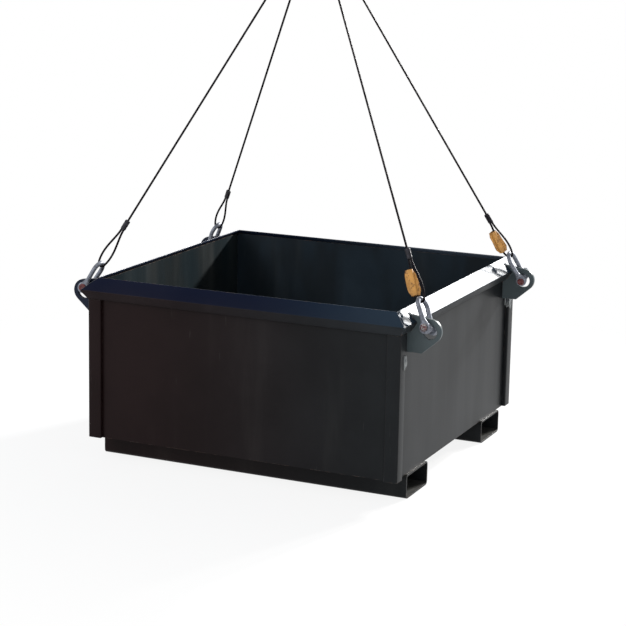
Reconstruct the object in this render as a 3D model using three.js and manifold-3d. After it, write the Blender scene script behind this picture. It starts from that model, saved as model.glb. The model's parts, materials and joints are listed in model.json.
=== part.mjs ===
// Crane lift box: an open steel box with two fork pockets under it and a lifting lug near each corner.
// Each lug holds a bow shackle with a wire rope sling leg, drawn taut to the point where the crane's hook is.
// Millimetres, +Z up, X along the fork pockets, the front at -Y.
// The origin is on the ground, under the middle of the box.
import * as THREE from 'three';
import { mergeVertices } from 'three/addons/utils/BufferGeometryUtils.js';
import Module from 'manifold-3d';

const wasm = await Module();
wasm.setup();

// Box over its corner posts
const box_length = 1200;
const box_depth = 1166;
const pocket_height = 86;
const body_height = 585;

// Sheets and clearances
const panel_thickness = 5;
const floor_thickness = 5;
const panel_recess = 14;
const weld_gap = 0.3;

// Corner posts, folded round the corner and open at the back
const post_width = 50;
const post_sheet = 4;

// Rim, a folded rail with a sloping face over a lip that leans back in to the posts
const rim_overhang = 22;
const rim_slope_height = 43;
const rim_lip_height = 33;
const rim_sheet = 4;
const rim_inset = 28;

// Fork pockets, rectangular tube that ends between the panels' faces and the posts' faces
const pocket_width = 200;
const pocket_wall = 6;
const pocket_corner_radius = 14;
const pocket_setback = 104;
const pocket_end_inset = 6;

// Lifting lugs, plates that stand on the side faces and the rim, their round end centred over the hole
const lug_thickness = 12;
const lug_inboard = 92;
const lug_end_radius = 42;
const lug_end_rise = 3;
const lug_hole_radius = 25;
const lug_reach = 69;
const lug_hole_drop = 72;
const lug_foot_drop = 148;
const lug_foot_step = 56;
const lug_top_inboard = 20;

// Bow shackles
const shackle_rod = 16;
const shackle_pin = 20;
const shackle_jaw = 32;
const shackle_inside_length = 100;
const shackle_bow_inside = 50;
const shackle_ear_radius = 20;
const shackle_ear_proud = 3;
const pin_clearance = 0.3;
const pin_head_radius = 13;
const pin_head_height = 7;
const pin_thread_length = 22;
const pin_edge = 0.4;
const bore_overrun = 10;
const nut_across_flats = 30;
const nut_height = 16;

// Wire rope slings
const rope_diameter = 8;
const hook_height = 1940;
const hook_clearance = 80;
const eye_length = 151;
const ferrule_length = 38;
const ferrule_wall = 1.6;
const ferrule_cheek = 2.5;
const ferrule_flat = 0.3;
const rope_gap = 0.3;
const eye_end_gap = 0.6;
const eye_seat_gap = 0.6;
const upper_eye_length = 170;
const upper_eye_radius = 24;
const rope_step_diameters = 3;
const eye_leave_angle = Math.PI / 10;
const eye_swell_share = 0.4;
const eye_neck_share = 0.3;

// Tags, blank sheets pressed together on both sides of a channel that one strand of a lower eye runs through
const tag_half_width = 22;
const tag_height = 92;
const tag_sheet = 1.2;
const tag_gap = 0.5;
const tag_drop = 34;
const tag_turn = Math.PI / 7;
const tag_samples = 12;
const tag_arc_steps = 8;

// Counts
const round_sides = 28;
const nut_sides = 6;
const rod_sides = 10;
const rope_sides = 8;
const bow_leg_steps = 4;
const bow_arc_steps = 14;
const eye_strand_steps = 8;
const eye_arc_steps = 10;
const corner_steps = 4;
const halvings = 40;

// Worked out from the sizes above
const rim_top = pocket_height + body_height;
const half_length = box_length / 2;
const half_depth = box_depth / 2;
const panel_inner = panel_recess + panel_thickness;
const rim_drop = rim_slope_height + rim_lip_height;
const slope_run = rim_inset + rim_overhang;
const slope_rate = rim_slope_height / slope_run;
const under_slope = (rim_sheet * Math.hypot(slope_run, rim_slope_height)) / slope_run;

const paint = new THREE.MeshStandardMaterial({ color: 0x1f2226, roughness: 0.45, metalness: 0.3 });
const galvanised = new THREE.MeshStandardMaterial({ color: 0x9a9da0, roughness: 0.4, metalness: 0.85 });
const red_lacquer = new THREE.MeshStandardMaterial({ color: 0x7c3a38, roughness: 0.5, metalness: 0.2 });
const dark_wire = new THREE.MeshStandardMaterial({ color: 0x17171b, roughness: 0.55, metalness: 0.6 });
const dark_sleeve = new THREE.MeshStandardMaterial({ color: 0x2a2b2e, roughness: 0.5, metalness: 0.6 });
const amber_sheet = new THREE.MeshStandardMaterial({ color: 0xb87a35, roughness: 0.6, metalness: 0 });

const crane_lift_box = new THREE.Group();
crane_lift_box.name = 'crane_lift_box';

function place(parent, name, geometry, material, x, y, z) {
  const mesh = new THREE.Mesh(geometry, material);
  mesh.name = name;
  mesh.position.set(x, y, z);
  parent.add(mesh);
  return mesh;
}

function closed_solid(geometry) {
  const bare = geometry.clone();
  bare.deleteAttribute('normal');
  bare.deleteAttribute('uv');
  const merged = mergeVertices(bare);
  const mesh = new wasm.Mesh({
    numProp: 3,
    vertProperties: new Float32Array(merged.attributes.position.array),
    triVerts: new Uint32Array(merged.index.array),
  });
  return new wasm.Manifold(mesh);
}

function solid_geometry(solid) {
  const mesh = solid.getMesh();
  const geometry = new THREE.BufferGeometry();
  geometry.setAttribute('position', new THREE.BufferAttribute(mesh.vertProperties, mesh.numProp));
  geometry.setIndex(new THREE.BufferAttribute(mesh.triVerts, 1));
  geometry.computeVertexNormals();
  return geometry;
}

// A cylinder that lies along X between two places
function cylinder_along_x(radius, from, to, sides) {
  const geometry = new THREE.CylinderGeometry(radius, radius, to - from, sides);
  geometry.rotateZ(Math.PI / 2);
  geometry.translate((from + to) / 2, 0, 0);
  return geometry;
}

// The bow's centre line in the leg's XZ plane: up one leg, over an arc and down the other leg.
// Steps are shared out between the legs and the arc, so that the arc is smooth and the legs stay light.
class BowCurve extends THREE.Curve {
  constructor(foot, centre_height, radius) {
    super();
    this.foot = foot;
    this.centre_height = centre_height;
    this.radius = radius;
    const bearing = Math.atan2(-centre_height, foot);
    this.first_angle = bearing + Math.acos(radius / Math.hypot(foot, centre_height));
    this.leg_share = bow_leg_steps / (2 * bow_leg_steps + bow_arc_steps);
    this.steps = 2 * bow_leg_steps + bow_arc_steps;
  }

  arc_point(share) {
    const angle = this.first_angle + (Math.PI - 2 * this.first_angle) * share;
    return [this.radius * Math.cos(angle), this.centre_height + this.radius * Math.sin(angle)];
  }

  flat_point(t) {
    const leg = this.leg_share;
    if (t > 0.5) {
      const [across, along] = this.flat_point(1 - t);
      return [-across, along];
    }
    if (t < leg) {
      const end = this.arc_point(0);
      const share = t / leg;
      return [this.foot + (end[0] - this.foot) * share, end[1] * share];
    }
    return this.arc_point((t - leg) / (1 - 2 * leg));
  }

  getPoint(t, target = new THREE.Vector3()) {
    const [across, along] = this.flat_point(t);
    return target.set(across, 0, along);
  }

  getPointAt(u, target) {
    return this.getPoint(u, target);
  }

  getTangentAt(u, target) {
    return this.getTangent(u, target);
  }
}

// A soft rope eye in the leg's YZ plane: a strand that swells out from the sleeve, a bend round what it
// holds, and the same strand back. Away is measured from the sleeve, and way is where the eye points.
class EyeCurve extends THREE.Curve {
  constructor(sleeve_height, way, offset, bend_away, bend_radius) {
    super();
    this.sleeve_height = sleeve_height;
    this.way = way;
    this.bend_away = bend_away;
    this.bend_radius = bend_radius;
    const outward = Math.sin(eye_leave_angle);
    const back = Math.cos(eye_leave_angle);
    const touch = [bend_radius * back, bend_away + bend_radius * outward];
    const swell = eye_swell_share * bend_away;
    this.handles = [
      [offset, 0],
      [offset, eye_neck_share * bend_away],
      [touch[0] + swell * outward, touch[1] - swell * back],
      touch,
    ];
    this.strand_share = eye_strand_steps / (2 * eye_strand_steps + eye_arc_steps);
    this.steps = 2 * eye_strand_steps + eye_arc_steps;
  }

  strand_point(share) {
    const rest = 1 - share;
    const weights = [rest ** 3, 3 * rest ** 2 * share, 3 * rest * share ** 2, share ** 3];
    const point = [0, 0];
    weights.forEach((weight, i) => {
      point[0] += weight * this.handles[i][0];
      point[1] += weight * this.handles[i][1];
    });
    return point;
  }

  // The place on the strand that lies so far away from the sleeve
  strand_at(away) {
    let low = 0;
    let high = 1;
    for (let i = 0; i < halvings; i += 1) {
      const middle = (low + high) / 2;
      if (this.strand_point(middle)[1] < away) {
        low = middle;
      } else {
        high = middle;
      }
    }
    return this.strand_point(low);
  }

  flat_point(t) {
    if (t > 0.5) {
      const [across, away] = this.flat_point(1 - t);
      return [-across, away];
    }
    if (t < this.strand_share) {
      return this.strand_point(t / this.strand_share);
    }
    const share = (t - this.strand_share) / (1 - 2 * this.strand_share);
    const angle = eye_leave_angle + (Math.PI - 2 * eye_leave_angle) * share;
    return [this.bend_radius * Math.cos(angle), this.bend_away + this.bend_radius * Math.sin(angle)];
  }

  getPoint(t, target = new THREE.Vector3()) {
    const [across, away] = this.flat_point(t);
    return target.set(0, across, this.sleeve_height + this.way * away);
  }

  getPointAt(u, target) {
    return this.getPoint(u, target);
  }

  getTangentAt(u, target) {
    return this.getTangent(u, target);
  }
}

function round_section(radius, sides) {
  const shape = new THREE.Shape();
  for (let i = 0; i < sides; i += 1) {
    const angle = (i / sides) * 2 * Math.PI;
    const point = [radius * Math.cos(angle), radius * Math.sin(angle)];
    if (i === 0) {
      shape.moveTo(point[0], point[1]);
    } else {
      shape.lineTo(point[0], point[1]);
    }
  }
  shape.closePath();
  return shape;
}

function tube(curve, radius, sides, steps) {
  const section = round_section(radius, sides);
  return new THREE.ExtrudeGeometry(section, { steps, extrudePath: curve, bevelEnabled: false });
}

// An outline that always runs anticlockwise, so that its holes are cut the right way round
function polygon(points) {
  const outline = points.map(([x, y]) => new THREE.Vector2(x, y));
  if (THREE.ShapeUtils.isClockWise(outline)) {
    outline.reverse();
  }
  return new THREE.Shape(outline);
}

// Floor and side panels
function build_panels() {
  const panel_height = body_height - (rim_inset - panel_recess) * slope_rate - under_slope - weld_gap;
  const panel_middle = pocket_height + panel_height / 2;
  const outer_x = half_length - panel_recess;
  const inner_x = half_length - panel_inner;
  const outer_y = half_depth - panel_recess;
  const inner_y = half_depth - panel_inner;
  const floor = new THREE.BoxGeometry(2 * inner_x, 2 * inner_y, floor_thickness);
  place(crane_lift_box, 'floor_plate', floor, paint, 0, 0, pocket_height + floor_thickness / 2);
  const long_panel = new THREE.BoxGeometry(2 * outer_x, panel_thickness, panel_height);
  const short_panel = new THREE.BoxGeometry(panel_thickness, 2 * inner_y, panel_height);
  const middle_y = (outer_y + inner_y) / 2;
  const middle_x = (outer_x + inner_x) / 2;
  place(crane_lift_box, 'front_panel', long_panel, paint, 0, -middle_y, panel_middle);
  place(crane_lift_box, 'back_panel', long_panel.clone(), paint, 0, middle_y, panel_middle);
  place(crane_lift_box, 'left_panel', short_panel, paint, -middle_x, 0, panel_middle);
  place(crane_lift_box, 'right_panel', short_panel.clone(), paint, middle_x, 0, panel_middle);
}

// A corner post is one sheet folded round the corner, with both edges turned in to the panels
function build_posts() {
  const post_height = body_height - rim_drop;
  const outline = [
    [post_width, panel_recess],
    [post_width, 0],
    [0, 0],
    [0, post_width],
    [panel_recess, post_width],
    [panel_recess, post_width - post_sheet],
    [post_sheet, post_width - post_sheet],
    [post_sheet, post_sheet],
    [post_width - post_sheet, post_sheet],
    [post_width - post_sheet, panel_recess],
  ];
  const turned_corners = [
    ['front_left', -1, -1, 0],
    ['front_right', 1, -1, Math.PI / 2],
    ['back_right', 1, 1, Math.PI],
    ['back_left', -1, 1, -Math.PI / 2],
  ];
  for (const [corner, side, end, turn] of turned_corners) {
    const geometry = new THREE.ExtrudeGeometry(polygon(outline), { depth: post_height, bevelEnabled: false });
    const name = `corner_post_${corner}`;
    const post = place(crane_lift_box, name, geometry, paint, side * half_length, end * half_depth, 0);
    post.position.z = pocket_height;
    post.rotation.z = turn;
  }
}

// The rim's section, as places out from the post's outer face and down from the rim's top.
// Its slope lies on the panel's top and ends in a thin edge over the box, and its other edge
// meets the panel's face over the posts.
function rim_outline() {
  const lip_length = Math.hypot(rim_overhang, rim_lip_height);
  const behind_lip = (rim_sheet * lip_length) / rim_lip_height;
  const lip_rate = rim_overhang / rim_lip_height;
  const lip_at = (up) => rim_overhang + (up + rim_slope_height) * lip_rate - behind_lip;
  const fold_gap = under_slope - behind_lip * slope_rate;
  const fold_up = -rim_slope_height - fold_gap / (1 + slope_rate * lip_rate);
  return [
    [-rim_inset, -under_slope],
    [-rim_inset, 0],
    [rim_overhang, -rim_slope_height],
    [0, -rim_drop],
    [-panel_recess, -rim_drop],
    [-panel_recess, -rim_drop + rim_sheet],
    [lip_at(-rim_drop + rim_sheet), -rim_drop + rim_sheet],
    [lip_at(fold_up), fold_up],
  ];
}

// A rail along one side, with its ends mitred so that two rails meet on the corner's diagonal
function rim_rail(half_run) {
  const outline = rim_outline().reverse();
  const flat_outline = outline.map(([out, up]) => new THREE.Vector2(out, up));
  const faces = THREE.ShapeUtils.triangulateShape(flat_outline, []);
  const mitre_gap = weld_gap / Math.SQRT2;
  const positions = [];
  for (const end of [-1, 1]) {
    for (const [out, up] of outline) {
      positions.push(end * (half_run + out - mitre_gap), -out, up);
    }
  }
  const count = outline.length;
  const index = [];
  for (const [a, b, c] of faces) {
    index.push(a, b, c);
    index.push(count + a, count + c, count + b);
  }
  for (let i = 0; i < count; i += 1) {
    const next = (i + 1) % count;
    index.push(i, count + next, next);
    index.push(i, count + i, count + next);
  }
  const geometry = new THREE.BufferGeometry();
  geometry.setAttribute('position', new THREE.Float32BufferAttribute(positions, 3));
  geometry.setIndex(index);
  return closed_or_flipped(geometry);
}

// Turns the faces round where they point inwards
function closed_or_flipped(geometry) {
  const position = geometry.attributes.position;
  const index = geometry.index.array;
  let volume = 0;
  const a = new THREE.Vector3();
  const b = new THREE.Vector3();
  const c = new THREE.Vector3();
  for (let i = 0; i < index.length; i += 3) {
    a.fromBufferAttribute(position, index[i]);
    b.fromBufferAttribute(position, index[i + 1]);
    c.fromBufferAttribute(position, index[i + 2]);
    volume += a.dot(b.cross(c));
  }
  if (volume < 0) {
    for (let i = 0; i < index.length; i += 3) {
      const kept = index[i + 1];
      index[i + 1] = index[i + 2];
      index[i + 2] = kept;
    }
  }
  geometry.computeVertexNormals();
  return geometry;
}

function build_rim() {
  const sides = [
    ['rim_rail_front', half_length, 0, -half_depth, 0],
    ['rim_rail_right', half_depth, half_length, 0, Math.PI / 2],
    ['rim_rail_back', half_length, 0, half_depth, Math.PI],
    ['rim_rail_left', half_depth, -half_length, 0, -Math.PI / 2],
  ];
  for (const [name, half_run, x, y, turn] of sides) {
    const rail = place(crane_lift_box, name, rim_rail(half_run), paint, x, y, rim_top);
    rail.rotation.z = turn;
  }
}

function rounded_rectangle(width, height, radius) {
  const points = [];
  const centres = [[1, 1], [-1, 1], [-1, -1], [1, -1]];
  centres.forEach(([sx, sy], quarter) => {
    for (let i = 0; i <= corner_steps; i += 1) {
      const angle = (quarter + i / corner_steps) * (Math.PI / 2);
      const x = sx * (width / 2 - radius) + radius * Math.cos(angle);
      const y = sy * (height / 2 - radius) + radius * Math.sin(angle);
      points.push(new THREE.Vector2(x, y));
    }
  });
  return points;
}

// The fork pockets lie under the floor, along X, open at both ends
function build_pockets() {
  const length = box_length - 2 * pocket_end_inset;
  const middle_y = half_depth - pocket_setback - pocket_width / 2;
  for (const [name, side] of [['fork_pocket_front', -1], ['fork_pocket_back', 1]]) {
    const shape = new THREE.Shape(rounded_rectangle(pocket_width, pocket_height, pocket_corner_radius));
    const inner_width = pocket_width - 2 * pocket_wall;
    const inner_height = pocket_height - 2 * pocket_wall;
    const inner_radius = pocket_corner_radius - pocket_wall;
    shape.holes.push(new THREE.Path(rounded_rectangle(inner_width, inner_height, inner_radius)));
    const geometry = new THREE.ExtrudeGeometry(shape, { depth: length, bevelEnabled: false });
    geometry.translate(0, 0, -length / 2);
    geometry.rotateX(Math.PI / 2);
    geometry.rotateZ(Math.PI / 2);
    place(crane_lift_box, name, geometry, paint, 0, side * middle_y, pocket_height / 2);
  }
}

// A lug's outline, as places out from the post's outer face and down from the rim's top
function lug_shape(side) {
  const slope_gap = (weld_gap * Math.hypot(slope_run, rim_slope_height)) / slope_run;
  const lip_gap = (weld_gap * Math.hypot(rim_overhang, rim_lip_height)) / rim_lip_height;
  const top_out = -rim_inset + lug_top_inboard;
  const top_up = -lug_top_inboard * slope_rate + slope_gap;
  const hole_up = -lug_hole_drop;
  const end_up = hole_up + lug_end_rise;
  const foot_out = -panel_recess + weld_gap;
  const step_out = foot_out + lug_foot_step;
  const foot_reach = Math.hypot(lug_reach - step_out, lug_foot_drop + end_up);
  const foot_bearing = Math.atan2(-lug_foot_drop - end_up, step_out - lug_reach);
  const foot_angle = foot_bearing + Math.acos(lug_end_radius / foot_reach);
  const top_reach = Math.hypot(lug_reach - top_out, top_up - end_up);
  const top_bearing = Math.atan2(top_up - end_up, top_out - lug_reach);
  const top_angle = top_bearing - Math.acos(lug_end_radius / top_reach);
  const points = [
    [top_out, top_up],
    [rim_overhang + lip_gap, -rim_slope_height + slope_gap - lip_gap * slope_rate],
    [lip_gap, -rim_drop - weld_gap],
    [foot_out, -rim_drop - weld_gap],
    [foot_out, -lug_foot_drop],
    [step_out, -lug_foot_drop],
  ];
  const arc_steps = round_sides / 2;
  for (let i = 0; i <= arc_steps; i += 1) {
    const angle = foot_angle + (top_angle - foot_angle) * (i / arc_steps);
    points.push([lug_reach + lug_end_radius * Math.cos(angle), end_up + lug_end_radius * Math.sin(angle)]);
  }
  const shape = polygon(points.map(([out, up]) => [side * out, up]));
  const hole = [];
  for (let i = 0; i < round_sides; i += 1) {
    const angle = (i / round_sides) * 2 * Math.PI;
    const x = side * (lug_reach + lug_hole_radius * Math.cos(angle));
    hole.push(new THREE.Vector2(x, hole_up + lug_hole_radius * Math.sin(angle)));
  }
  shape.holes.push(new THREE.Path(hole));
  return shape;
}

const lug_y = half_depth - lug_inboard;
const corners = [
  ['front_left', -1, -1],
  ['front_right', 1, -1],
  ['back_left', -1, 1],
  ['back_right', 1, 1],
];

function build_lugs() {
  for (const [corner, side, end] of corners) {
    const shape = lug_shape(side);
    const geometry = new THREE.ExtrudeGeometry(shape, { depth: lug_thickness, bevelEnabled: false });
    geometry.translate(0, 0, -lug_thickness / 2);
    geometry.rotateX(Math.PI / 2);
    place(crane_lift_box, `lifting_lug_${corner}`, geometry, paint, side * half_length, end * lug_y, rim_top);
  }
}

// The sling leg's own frame: X along the shackle's pin, Z along the pull, origin at the pin's middle
function leg_frame(side, end) {
  const hole = new THREE.Vector3(side * (half_length + lug_reach), end * lug_y, rim_top - lug_hole_drop);
  const hook = new THREE.Vector3(0, 0, hook_height);
  const pull = hook.clone().sub(hole).normalize();
  const along_y = new THREE.Vector3(0, 1, 0);
  const pin = along_y.clone().addScaledVector(pull, -pull.y).normalize();
  const tilt = Math.acos(pin.y);
  const pin_room = shackle_pin / 2 / Math.cos(tilt) + (lug_thickness / 2) * Math.tan(tilt);
  const seat = lug_hole_radius * Math.cos(Math.PI / round_sides) - pin_room - pin_clearance;
  const seat_direction = new THREE.Vector3(pull.x, 0, pull.z).normalize();
  const origin = hole.clone().addScaledVector(seat_direction, seat);
  const leg_pull = hook.clone().sub(origin).normalize();
  const leg_pin = along_y.clone().addScaledVector(leg_pull, -leg_pull.y).normalize();
  const across = leg_pull.clone().cross(leg_pin);
  const length = hook.distanceTo(origin);
  return { origin, pull: leg_pull, pin: leg_pin, across, length };
}

const ear_outer = shackle_jaw / 2 + shackle_rod + shackle_ear_proud;
const ear_middle = (shackle_jaw + shackle_rod) / 2;
const crown_height = shackle_inside_length + shackle_rod / 2;

function bow_geometry() {
  const bow_radius = (shackle_bow_inside + shackle_rod) / 2;
  const curve = new BowCurve(ear_middle, crown_height - bow_radius, bow_radius);
  const rod = closed_solid(tube(curve, shackle_rod / 2, rod_sides, curve.steps));
  const right_ear = cylinder_along_x(shackle_ear_radius, shackle_jaw / 2, ear_outer, round_sides);
  const left_ear = cylinder_along_x(shackle_ear_radius, -ear_outer, -shackle_jaw / 2, round_sides);
  const bore_radius = shackle_pin / 2 + pin_clearance;
  const bore_end = ear_outer + bore_overrun;
  const bore = cylinder_along_x(bore_radius, -bore_end, bore_end, round_sides);
  const jaw_room = new THREE.BoxGeometry(shackle_jaw, 2 * shackle_ear_radius, 2 * shackle_ear_radius);
  let solid = rod.add(closed_solid(right_ear)).add(closed_solid(left_ear));
  solid = solid.subtract(closed_solid(jaw_room));
  solid = solid.subtract(closed_solid(bore));
  return solid_geometry(solid);
}

// The pin has a flat round head at the front and a thread for the nut at the back
function pin_geometry() {
  const radius = shackle_pin / 2;
  const head_top = -ear_outer - pin_clearance;
  const profile = [
    [0, head_top - pin_head_height],
    [pin_head_radius - pin_edge, head_top - pin_head_height],
    [pin_head_radius, head_top - pin_head_height + pin_edge],
    [pin_head_radius, head_top],
    [radius, head_top],
    [radius, ear_outer + pin_thread_length - pin_edge],
    [radius - pin_edge, ear_outer + pin_thread_length],
    [0, ear_outer + pin_thread_length],
  ];
  const points = profile.map(([r, along]) => new THREE.Vector2(r, along));
  const geometry = new THREE.LatheGeometry(points, round_sides);
  geometry.rotateZ(-Math.PI / 2);
  return geometry;
}

function nut_geometry() {
  const corner_radius = nut_across_flats / 2 / Math.cos(Math.PI / nut_sides);
  const shape = round_section(corner_radius, nut_sides);
  const bore_radius = shackle_pin / 2 + pin_clearance;
  shape.holes.push(new THREE.Path(round_section(bore_radius, round_sides).getPoints()));
  const geometry = new THREE.ExtrudeGeometry(shape, { depth: nut_height, bevelEnabled: false });
  geometry.rotateY(Math.PI / 2);
  geometry.translate(ear_outer + pin_clearance, 0, 0);
  return geometry;
}

const strand_offset = rope_diameter / 2 + eye_end_gap / 2;
const ferrule_start = shackle_inside_length + eye_length;
const ferrule_end = ferrule_start + ferrule_length;

// The lower eye goes round the crown of the bow, in the plane across the pin
function lower_eye_curve() {
  const bend_radius = shackle_rod / 2 + rope_diameter / 2 + eye_seat_gap;
  const sleeve = ferrule_start - eye_end_gap;
  return new EyeCurve(sleeve, -1, strand_offset, sleeve - crown_height, bend_radius);
}

function upper_eye_curve(sleeve) {
  return new EyeCurve(sleeve, 1, strand_offset, upper_eye_length - upper_eye_radius, upper_eye_radius);
}

function ferrule_geometry() {
  const across = 2 * (strand_offset + rope_diameter / 2 + ferrule_wall);
  const thick = rope_diameter + 2 * ferrule_cheek;
  const outline = rounded_rectangle(thick, across, thick / 2 - ferrule_flat);
  return new THREE.ExtrudeGeometry(new THREE.Shape(outline), { depth: ferrule_length, bevelEnabled: false });
}

// Where a tag sits on its strand: its channel's middle line, and how far the strand strays from it
function tag_seat() {
  const eye = lower_eye_curve();
  const top = eye.strand_at(tag_drop);
  const foot = eye.strand_at(tag_drop + tag_height);
  const slope = (foot[0] - top[0]) / (foot[1] - top[1]);
  const departures = [];
  for (let i = 0; i <= tag_samples; i += 1) {
    const [across, away] = eye.strand_at(tag_drop + (tag_height * i) / tag_samples);
    departures.push((across - top[0] - slope * (away - top[1])) * Math.cos(Math.atan(slope)));
  }
  const middle = (Math.max(...departures) + Math.min(...departures)) / 2;
  const stray = Math.max(...departures) - middle;
  const shift = middle / Math.cos(Math.atan(slope));
  return { across: foot[0] + shift, along: eye.sleeve_height - foot[1], lean: Math.atan(slope), stray };
}

// The channel is round, so it has room for the strand's stray whichever way the tag is turned
function tag_geometry(stray) {
  const room = rope_diameter / 2 + stray + tag_gap;
  const outer = room + tag_sheet;
  const first = Math.asin(tag_sheet / outer);
  const side = [[tag_half_width, tag_sheet]];
  for (let i = 0; i <= tag_arc_steps; i += 1) {
    const angle = first + ((Math.PI - 2 * first) * i) / tag_arc_steps;
    side.push([outer * Math.cos(angle), outer * Math.sin(angle)]);
  }
  side.push([-tag_half_width, tag_sheet]);
  const shape = polygon([...side, ...side.map(([x, y]) => [-x, -y])]);
  const sides = 2 * tag_arc_steps;
  shape.holes.push(new THREE.Path(round_section(room / Math.cos(Math.PI / sides), sides).getPoints()));
  return new THREE.ExtrudeGeometry(shape, { depth: tag_height, bevelEnabled: false });
}

function build_sling_leg(corner, side, end) {
  const frame = leg_frame(side, end);
  const leg = new THREE.Group();
  const basis = new THREE.Matrix4().makeBasis(frame.pin, frame.across, frame.pull);
  leg.quaternion.setFromRotationMatrix(basis);
  leg.position.copy(frame.origin);
  crane_lift_box.add(leg);
  place(leg, `shackle_bow_${corner}`, bow_geometry(), galvanised, 0, 0, 0);
  place(leg, `shackle_pin_${corner}`, pin_geometry(), red_lacquer, 0, 0, 0);
  place(leg, `shackle_nut_${corner}`, nut_geometry(), galvanised, 0, 0, 0);
  const eye = lower_eye_curve();
  const eye_tube = tube(eye, rope_diameter / 2, rope_sides, eye.steps);
  place(leg, `lower_eye_${corner}`, eye_tube, dark_wire, 0, 0, 0);
  place(leg, `lower_ferrule_${corner}`, ferrule_geometry(), dark_sleeve, 0, 0, ferrule_start);
  const upper_sleeve_end = frame.length - hook_clearance - upper_eye_length;
  const upper_ferrule = upper_sleeve_end - eye_end_gap - ferrule_length;
  const rope_start = ferrule_end + rope_gap;
  const rope_end = upper_ferrule - rope_gap;
  const rope_foot = new THREE.Vector3(0, 0, rope_start);
  const rope_head = new THREE.Vector3(0, 0, rope_end);
  const rope_line = new THREE.LineCurve3(rope_foot, rope_head);
  const rope_steps = Math.ceil((rope_end - rope_start) / (rope_step_diameters * rope_diameter));
  const rope_tube = tube(rope_line, rope_diameter / 2, rope_sides, rope_steps);
  place(leg, `rope_${corner}`, rope_tube, dark_wire, 0, 0, 0);
  place(leg, `upper_ferrule_${corner}`, ferrule_geometry(), dark_sleeve, 0, 0, upper_ferrule);
  const upper_eye = upper_eye_curve(upper_sleeve_end);
  const upper_tube = tube(upper_eye, rope_diameter / 2, rope_sides, upper_eye.steps);
  place(leg, `upper_eye_${corner}`, upper_tube, dark_wire, 0, 0, 0);
  return leg;
}

// The tag sits on the strand of the lower eye that lies nearer to the middle of the box.
// It is turned a little, so that its outer edge passes behind the other strand.
function build_tag(leg, corner) {
  const seat = tag_seat();
  const sheet = tag_geometry(seat.stray);
  const tag = place(leg, `load_tag_${corner}`, sheet, amber_sheet, 0, seat.across, seat.along);
  tag.rotation.set(seat.lean, 0, 0);
  tag.rotateZ(Math.PI / 2 + tag_turn);
}

build_panels();
build_posts();
build_rim();
build_pockets();
build_lugs();
for (const [corner, side, end] of corners) {
  const leg = build_sling_leg(corner, side, end);
  if (side > 0) {
    build_tag(leg, corner);
  }
}

export default crane_lift_box;
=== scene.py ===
import json
import math
from bisect import bisect_right

import bmesh
import bpy
from bpy.props import FloatProperty, FloatVectorProperty, IntProperty, PointerProperty
from mathutils import Matrix, Vector, noise


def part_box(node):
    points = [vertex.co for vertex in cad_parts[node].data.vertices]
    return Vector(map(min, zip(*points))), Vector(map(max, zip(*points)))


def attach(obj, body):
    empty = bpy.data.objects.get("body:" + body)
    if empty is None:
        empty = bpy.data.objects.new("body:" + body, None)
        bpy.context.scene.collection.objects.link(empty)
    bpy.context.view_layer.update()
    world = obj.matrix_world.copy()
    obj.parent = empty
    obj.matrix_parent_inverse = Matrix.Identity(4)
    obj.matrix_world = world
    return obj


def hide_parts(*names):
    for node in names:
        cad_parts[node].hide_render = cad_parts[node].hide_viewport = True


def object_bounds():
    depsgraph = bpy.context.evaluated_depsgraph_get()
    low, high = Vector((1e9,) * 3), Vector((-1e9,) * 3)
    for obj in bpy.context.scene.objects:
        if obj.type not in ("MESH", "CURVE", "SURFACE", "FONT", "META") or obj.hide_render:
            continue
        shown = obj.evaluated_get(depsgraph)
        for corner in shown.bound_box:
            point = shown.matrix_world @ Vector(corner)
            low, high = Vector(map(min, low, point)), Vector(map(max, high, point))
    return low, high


bl_info = {
    "name": "Crane lift box",
    "version": (1, 0, 0),
    "blender": (4, 5, 0),
    "location": "3D View > Sidebar > Lift box",
    "description": "Dresses a crane lift box: painted sheet steel, welds, shackles and wire rope slings",
    "category": "Object",
}

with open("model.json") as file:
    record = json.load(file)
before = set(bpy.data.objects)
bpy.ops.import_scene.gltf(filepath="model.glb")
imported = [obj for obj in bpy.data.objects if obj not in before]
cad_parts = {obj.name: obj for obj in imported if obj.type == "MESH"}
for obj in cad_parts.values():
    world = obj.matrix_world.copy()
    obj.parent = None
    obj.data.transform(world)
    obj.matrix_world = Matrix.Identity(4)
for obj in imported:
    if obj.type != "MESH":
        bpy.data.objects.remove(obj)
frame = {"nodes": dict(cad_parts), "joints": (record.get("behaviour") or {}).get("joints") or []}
cad_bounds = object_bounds()

MM = 0.001
OVERLAP = 0.001 * MM
CORNERS = ("front_left", "front_right", "back_left", "back_right")
TAGGED_CORNERS = ("front_right", "back_right")
JOINTS = {joint["name"]: joint for joint in frame["joints"]}


# Sizes and colours that a user may change


def colour(name, description, value):
    return FloatVectorProperty(
        name=name, description=description, subtype="COLOR", size=3, min=0, max=1, default=value
    )


def length(name, description, value):
    return FloatProperty(name=name, description=description, unit="LENGTH", min=0, default=value)


def amount(name, description, value):
    return FloatProperty(name=name, description=description, min=0, max=1, default=value)


def angle(name, description, degrees):
    turn = math.radians(degrees)
    return FloatProperty(name=name, description=description, subtype="ANGLE", default=turn)


class LiftBoxSheetSettings(bpy.types.PropertyGroup):
    edge_radius: length("Cut edge", "Rounding of the sheets' cut edges", 0.8 * MM)
    rim_edge: length("Rim edge", "Rounding of the rim's edges", 1.2 * MM)
    fold_radius: length("Fold", "Outer radius of the folds in rim and posts", 4.5 * MM)
    plate_edge: length("Plate edge", "Rounding of the lugs' edges", 2.2 * MM)
    waviness: length("Waviness", "How far the side sheets are drawn in and out by welding", 1.1 * MM)
    weld_width: length("Weld width", "Width of the weld beads", 5 * MM)
    ripple_pitch: length("Ripple pitch", "Distance between the ripples of a weld bead", 2.6 * MM)


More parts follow.
